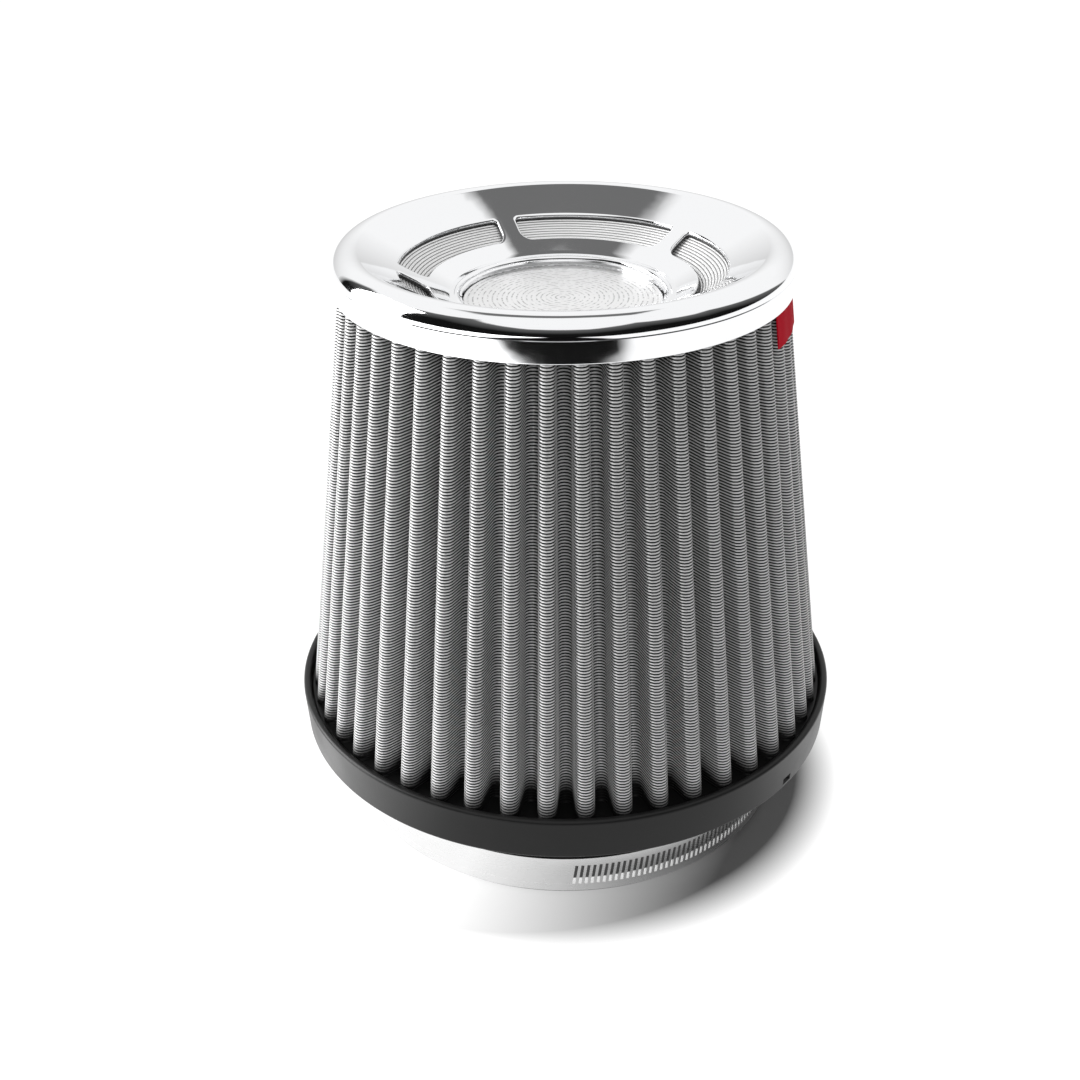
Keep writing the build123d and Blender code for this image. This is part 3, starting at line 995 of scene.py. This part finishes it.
def light_world():
    """White surroundings, where metal mirrors a dark room in front, a dim panel and a grey back wall."""
    world = bpy.data.worlds.new("white_studio")
    bpy.context.scene.world = world
    world.use_nodes = True
    bench = Bench(world.node_tree)
    background = world.node_tree.nodes["Background"]
    toward = bench.node("ShaderNodeTexCoord")["Generated"]
    parts = bench.node("ShaderNodeSeparateXYZ", None, {"Vector": toward})
    x, y, z = parts["X"], parts["Y"], parts["Z"]
    azimuth = bench.math("ARCTAN2", x, -1 * y)
    left_rise = (azimuth - ROOM_LEFT_PEAK).math("ABSOLUTE").between(ROOM_LEFT_SPREAD, 0.0)
    right_rise = (azimuth - ROOM_RIGHT_PEAK).math("ABSOLUTE").between(ROOM_RIGHT_SPREAD, 0.0)
    right_fall = azimuth.between(*ROOM_RIGHT_END)
    rise = ROOM_LEFT_RISE * left_rise + ROOM_RIGHT_RISE * right_rise
    top = ROOM_TOP + rise - ROOM_RIGHT_FALL * right_fall
    room = (top - z).between(0.0, ROOM_TOP_EDGE) * azimuth.between(*ROOM_LEFT_END)
    glow = (top - z).between(ROOM_GLOW_DEPTH, 0.0)
    across = x.between(*PANEL_LEFT) * x.between(*PANEL_RIGHT)
    panel = across * y.between(*PANEL_NEAR) * y.between(*PANEL_FAR)
    wall = y.between(*BACK_WALL) * z.between(*BACK_WALL_HEIGHT)
    dark = room * (ROOM_DARK - ROOM_GLOW * glow)
    seen = (1 - dark) * (1 - PANEL_DARK * panel) * (1 - BACK_WALL_DARK * wall)
    path = bench.node("ShaderNodeLightPath")
    shown = path["Is Glossy Ray"].math("MAXIMUM", path["Is Transmission Ray"])
    level = shown * seen + (1 - shown) * AMBIENT
    camera = path["Is Camera Ray"]
    bench.feed(background.inputs["Color"], grey(1.0))
    bench.feed(background.inputs["Strength"], camera + (1 - camera) * level)


def add_lamp(name, power, place, target, width, height, mirrored=True):
    """A soft oblong lamp that faces a target, and that bright metal mirrors or not."""
    deselect_all()
    facing = (Vector(target) - Vector(place)).to_track_quat("-Z", "Y").to_euler()
    bpy.ops.object.light_add(type="AREA", location=place, rotation=facing)
    lamp = bpy.context.object
    lamp.name = name
    lamp.data.shape = "RECTANGLE"
    lamp.data.size = width
    lamp.data.size_y = height
    lamp.data.energy = power
    lamp.visible_glossy = mirrored


def lay_floor():
    """Pale floor that is white to the camera and to bright metal, and keeps the object's shadow."""
    deselect_all()
    bpy.ops.mesh.primitive_plane_add(size=FLOOR_SIZE)
    floor = bpy.context.object
    floor.name = "floor"
    finish = Finish("pale_floor")
    path = finish.node("ShaderNodeLightPath")
    mirrored = path["Is Glossy Ray"]
    shown = path["Is Camera Ray"].math("MAXIMUM", mirrored)
    lee = LEE[0] * finish.x + LEE[1] * finish.y
    clear = finish.radius.between(*SHADOW_EDGE).math("MAXIMUM", lee.between(*LEE_EDGE))
    ahead = finish.y.between(*AHEAD_NEAR) * finish.x.between(*AHEAD_LEFT) * finish.x.between(*AHEAD_RIGHT)
    blocked = mirrored * ahead
    white = shown * clear * (1 - blocked)
    right = finish.x.between(*GLARE_RIGHT) * finish.radius.between(*GLARE_RIGHT_REACH)
    lit = finish.x.between(*GLARE_LEFT).math("MAXIMUM", GLARE_RIGHT_SHARE * right)
    glare = mirrored * lit * finish.y.between(*GLARE_BACK)
    pale = finish.mix(glare, grey(FLOOR_WHITE), grey(GLARE))
    finish.surface(base_color=finish.mix(blocked, grey(FLOOR_SHADE), grey(AHEAD_DARK)), roughness=0.9,
                   specular_ior_level=0.0, emission_color=finish.mix(white, grey(0.0), pale),
                   emission_strength=1.0)
    floor.data.materials.append(finish.material)


make_base(black_moulding())
make_pleats(woven_steel())
make_cap(chrome())
make_disc(spun_plate())
make_screen(screen_steel())
make_tag(woven_tag())

steel_strip = clamp_steel()
make_clamp("clamp_band", "clamp_strip", BAND_ROUND, steel_strip, FILTER)
make_slot_floor(slot_steel())
make_clamp("clamp_housing", "clamp_case", CASE_ROUND, steel_strip, FILTER)
make_clamp("clamp_screw", "clamp_worm", CASE_ROUND, steel_strip, SCREW)
frame["nodes"]["top_potting"].data.materials.clear()
frame["nodes"]["top_potting"].data.materials.append(potting())

place_camera()
light_world()
add_lamp("left_window", LEFT_WINDOW_POWER, **LEFT_WINDOW)
add_lamp("front_fill", FRONT_FILL_POWER, **FRONT_FILL, mirrored=False)
lay_floor()
bpy.context.scene.view_settings.view_transform = "Standard"
